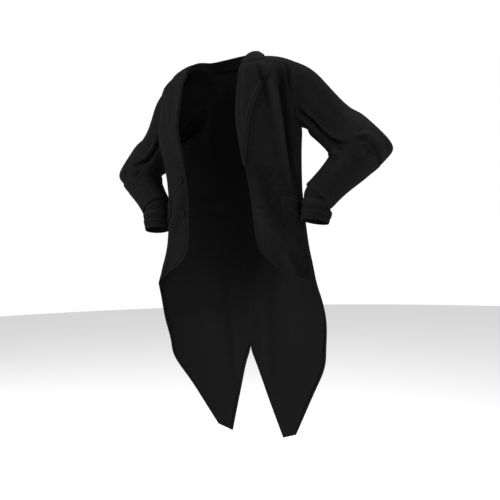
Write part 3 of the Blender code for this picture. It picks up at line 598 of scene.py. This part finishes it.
def finish_cloth(piece, family, material, stitch=0.0, stitch_at=0.007, stitch_width=0.0018, lift=0.0,
                 painted_inside_shade=False):
    """Presses folds and stitching into a fine wall, paints their shade and highlight, maps it, and
    dresses it.
    """
    mesh = piece.data
    reach_to_seams(mesh)
    points = read_points(mesh)
    from_rim = rim_distance(piece)
    places, out = (arm_places if family in ("arm", "cuff") else body_places)(points)
    if family == "arm":
        push = fold_push(points, ARM_FOLDS, places, ARM_RADIUS)
        push *= np.clip(places[:, 1] / HEAD_FADE, 0.0, 1.0)
        push *= np.clip((HEM_AT - places[:, 1]) / HEM_FADE, 0.0, 1.0)
    elif family == "cuff":
        push = fold_push(points, CUFF_FOLDS, places, ARM_RADIUS)
    elif family == "body":
        push = fold_push(points, BODY_FOLDS, places, BODY_RADIUS)
    else:
        push = np.zeros(len(points))
    stitched = np.exp(-(((from_rim - stitch_at) / stitch_width) ** 2))
    # lighter within a few millimetres of the rim
    edge_and_painted_light = PLAIN_TONE + EDGE_TONE * np.exp(-((from_rim / EDGE_REACH) ** 2))
    # painted shade in the troughs of the folds and painted highlight on their ridges, in step with the
    # push
    edge_and_painted_light += np.clip(push / FOLD_PAINTED_LIGHT_DEPTH, -MOST_FOLD_PAINTED_LIGHT, MOST_FOLD_PAINTED_LIGHT)
    # painted highlight along stitching that stands proud, painted shade along stitching that sinks
    edge_and_painted_light += math.copysign(STITCH_PAINTED_LIGHT, stitch) * stitched if stitch else 0.0
    # painted shade: the faces that turn in towards the body are darkened
    if painted_inside_shade:
        normals = np.empty(len(points) * 3, np.float32)
        mesh.vertex_normals.foreach_get("vector", normals)
        edge_and_painted_light -= INSIDE_PAINTED_SHADE * np.clip(-(normals.reshape(-1, 3) * out).sum(axis=1), 0, 1)
    push += stitch * stitched + lift
    write_points(mesh, points + out * push[:, None])
    mesh.attributes.new("edge_and_painted_light", "FLOAT", "POINT").data.foreach_set("value", edge_and_painted_light.astype(np.float32))
    mesh.attributes.remove(mesh.attributes["rim"])
    while mesh.uv_layers:
        mesh.uv_layers.remove(mesh.uv_layers[0])
    uv = mesh.uv_layers.new(name="cloth")
    corners = np.empty(len(mesh.loops), np.int32)
    mesh.loops.foreach_get("vertex_index", corners)
    uv.data.foreach_set("uv", places[corners].astype(np.float32).ravel())
    mesh.materials.append(material)
    mesh.update()
    bpy.ops.object.select_all(action="DESELECT")
    piece.select_set(True)
    bpy.context.view_layer.objects.active = piece
    bpy.ops.object.shade_smooth_by_angle(angle=math.radians(40))
    return piece


def place_cloth(piece, node):
    """Attaches the piece to the frame's root body and hides the CAD node that it stands for."""
    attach(piece, "root")
    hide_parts(node)


# %% [markdown]
# ## Body
# Two foreparts and two backs make the body. The backs run down into the tails, and they are lined
# to a finger's width from the tails' edges, where the turned-in wool shows.

# %% Foreparts, backs and lining
for side in ("left", "right"):
    forepart = fine_wall(f"forepart_{side}", 3, f"forepart_{side}_wool")
    finish_cloth(forepart, "body", wool, stitch=-0.0005)
    place_cloth(forepart, f"forepart_{side}")
    tail = fine_wall(f"back_{side}", 3, f"back_{side}_wool")
    finish_cloth(tail, "body", wool, stitch=-0.0004)
    place_cloth(tail, f"back_{side}")
    lining = fine_wall(f"back_lining_{side}", 3, f"back_lining_{side}_satin")
    finish_cloth(lining, "body", satin)
    place_cloth(lining, f"back_lining_{side}")

# %% [markdown]
# ## Lapels and collar
# The lapel is the forepart's own facing rolled outwards, and the collar is sewn to it at the notch.
# Both are stiffened with canvas, so they roll instead of folding, and only the stitching marks them.

# %% Lapels and collar
for side in ("left", "right"):
    lapel = fine_wall(f"lapel_{side}", 3, f"lapel_{side}_wool")
    finish_cloth(lapel, "body", wool, stitch=0.0014, stitch_at=0.0110, stitch_width=0.0024, lift=LIFT)
    place_cloth(lapel, f"lapel_{side}")
collar = fine_wall("collar", 3, "collar_wool")
# the collar's inner face gets painted shade
finish_cloth(
    collar, "plain", wool, stitch=0.0006, stitch_at=0.0085, stitch_width=0.0025, painted_inside_shade=True
)
place_cloth(collar, "collar")

# %% [markdown]
# ## Sleeves
# Each sleeve is a top and an under piece. Bent at the elbow, the cloth piles up in short folds on
# the inside and is drawn tight over the outside. The heads of both pieces are drawn in together to
# meet the armhole: drawn in one by one, they would part along the seam between them.

# %% Sleeves
HEAD_REACH = 0.006         # rim points this near the body belong to the sleeve's head
HEAD_BLEND = 0.022
HEAD_NEIGHBOURS = 24       # the pull is their mean, so the wall keeps its thickness


def close_armhole(sleeves, body):
    """Draws both sleeve pieces' heads onto the armhole's edge, and the cloth behind less and less."""
    edges = tree_of(np.concatenate([read_points(cloth.data) for cloth in body]))
    head, pulls = [], []
    for sleeve in sleeves:
        for point in read_points(sleeve.data)[rim_marks(sleeve.data)]:
            place, _, gap = edges.find(point)
            if gap < HEAD_REACH:
                head.append(point)
                pulls.append(place - Vector(point))
    rim, pulls = tree_of(head), np.array(pulls)
    for sleeve in sleeves:
        points = read_points(sleeve.data)
        for number, point in enumerate(points):
            gap = rim.find(point)[2]
            if gap < HEAD_BLEND:
                near = [found[1] for found in rim.find_n(point, HEAD_NEIGHBOURS)]
                points[number] += pulls[near].mean(axis=0) * (1 - gap / HEAD_BLEND)
        write_points(sleeve.data, points)
    print(f"sleeve heads drawn in by up to {np.linalg.norm(pulls, axis=1).max() * 1000:.1f} mm")


for side in ("left", "right"):
    parts = (("top", (0.22, 0.52), 0.093), ("under", (0.17, 0.44), 0.048))
    names = [f"{part}_sleeve_{side}" for part, _, _ in parts]
    sleeves = [fine_wall(name, 3, f"{name}_wool") for name in names]
    body = [bpy.data.objects[f"{cloth}_{side}_wool"] for cloth in ("forepart", "back")]
    close_armhole(sleeves, body)
    for sleeve, name, (_, flat, area) in zip(sleeves, names, parts):
        finish_cloth(sleeve, "arm", wool, stitch=0.0006, stitch_at=0.004, stitch_width=0.0016)
        place_cloth(sleeve, name)

# %% [markdown]
# ## Cuffs, flaps and welts
# Below the sleeve's hem a separate cuff stands out a little and ends in a narrower band. The pocket
# flaps hang from a narrow welt on each hip.

# %% Cuffs, flaps and welts
for side in ("left", "right"):
    cuff = fine_wall(f"cuff_{side}", 3, f"cuff_{side}_wool")
    finish_cloth(cuff, "cuff", wool)
    place_cloth(cuff, f"cuff_{side}")
    band = fine_wall(f"cuff_band_{side}", 3, f"cuff_band_{side}_wool")
    finish_cloth(band, "arm", wool)
    place_cloth(band, f"cuff_band_{side}")
    flap = fine_wall(f"pocket_flap_{side}", 3, f"pocket_flap_{side}_wool")
    finish_cloth(flap, "body", wool, stitch=0.0007, stitch_at=0.005, stitch_width=0.0016, lift=LIFT)
    place_cloth(flap, f"pocket_flap_{side}")
    welt = fine_wall(f"pocket_welt_{side}", 3, f"pocket_welt_{side}_wool")
    finish_cloth(welt, "body", wool, lift=LIFT)
    place_cloth(welt, f"pocket_welt_{side}")

# %% [markdown]
# ## Buttonholes
# Two worked holes stand on the wearer's left front, level with the buttons. Each is a ring of
# twist: a torus drawn out along the hole and turned to lie on the cloth.

# %% Buttonholes
HOLE_LENGTH, HOLE_WIDTH, TWIST = 0.019, 0.0042, 0.0006
forepart_points = read_points(bpy.data.objects["forepart_left_wool"].data)
normals = np.empty(len(forepart_points) * 3, np.float32)
bpy.data.objects["forepart_left_wool"].data.vertex_normals.foreach_get("vector", normals)
normals = normals.reshape(-1, 3)
outside = normals[:, 1] < -0.2
for number, (x, z) in enumerate(((0.1160, -0.292), (0.1200, -0.384)), 1):
    gap = np.hypot(forepart_points[:, 0] - x, forepart_points[:, 2] - z)
    nearest = np.argmin(np.where(outside, gap, 1.0))
    out = Vector(normals[nearest].astype(float)).normalized()
    along = Vector((0, 0, 1)).cross(out).normalized()
    bpy.ops.mesh.primitive_torus_add(
        major_segments=48, minor_segments=8, major_radius=HOLE_LENGTH / 2, minor_radius=TWIST
    )
    hole = bpy.context.object
    hole.name = f"buttonhole_{number}"
    turn = Matrix((along, out.cross(along), out)).transposed().to_4x4()
    squash = Matrix.Diagonal((1, HOLE_WIDTH / HOLE_LENGTH, 1, 1))
    hole.data.transform(Matrix.Translation(forepart_points[nearest]) @ turn @ squash)
    hole.data.materials.append(horn)
    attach(hole, "root")

# %% Measure and finish
triangles = 0
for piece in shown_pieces():
    if piece.type == "MESH":
        triangles += sum(len(p.vertices) - 2 for p in piece.data.polygons)
print("triangles in all:", triangles)
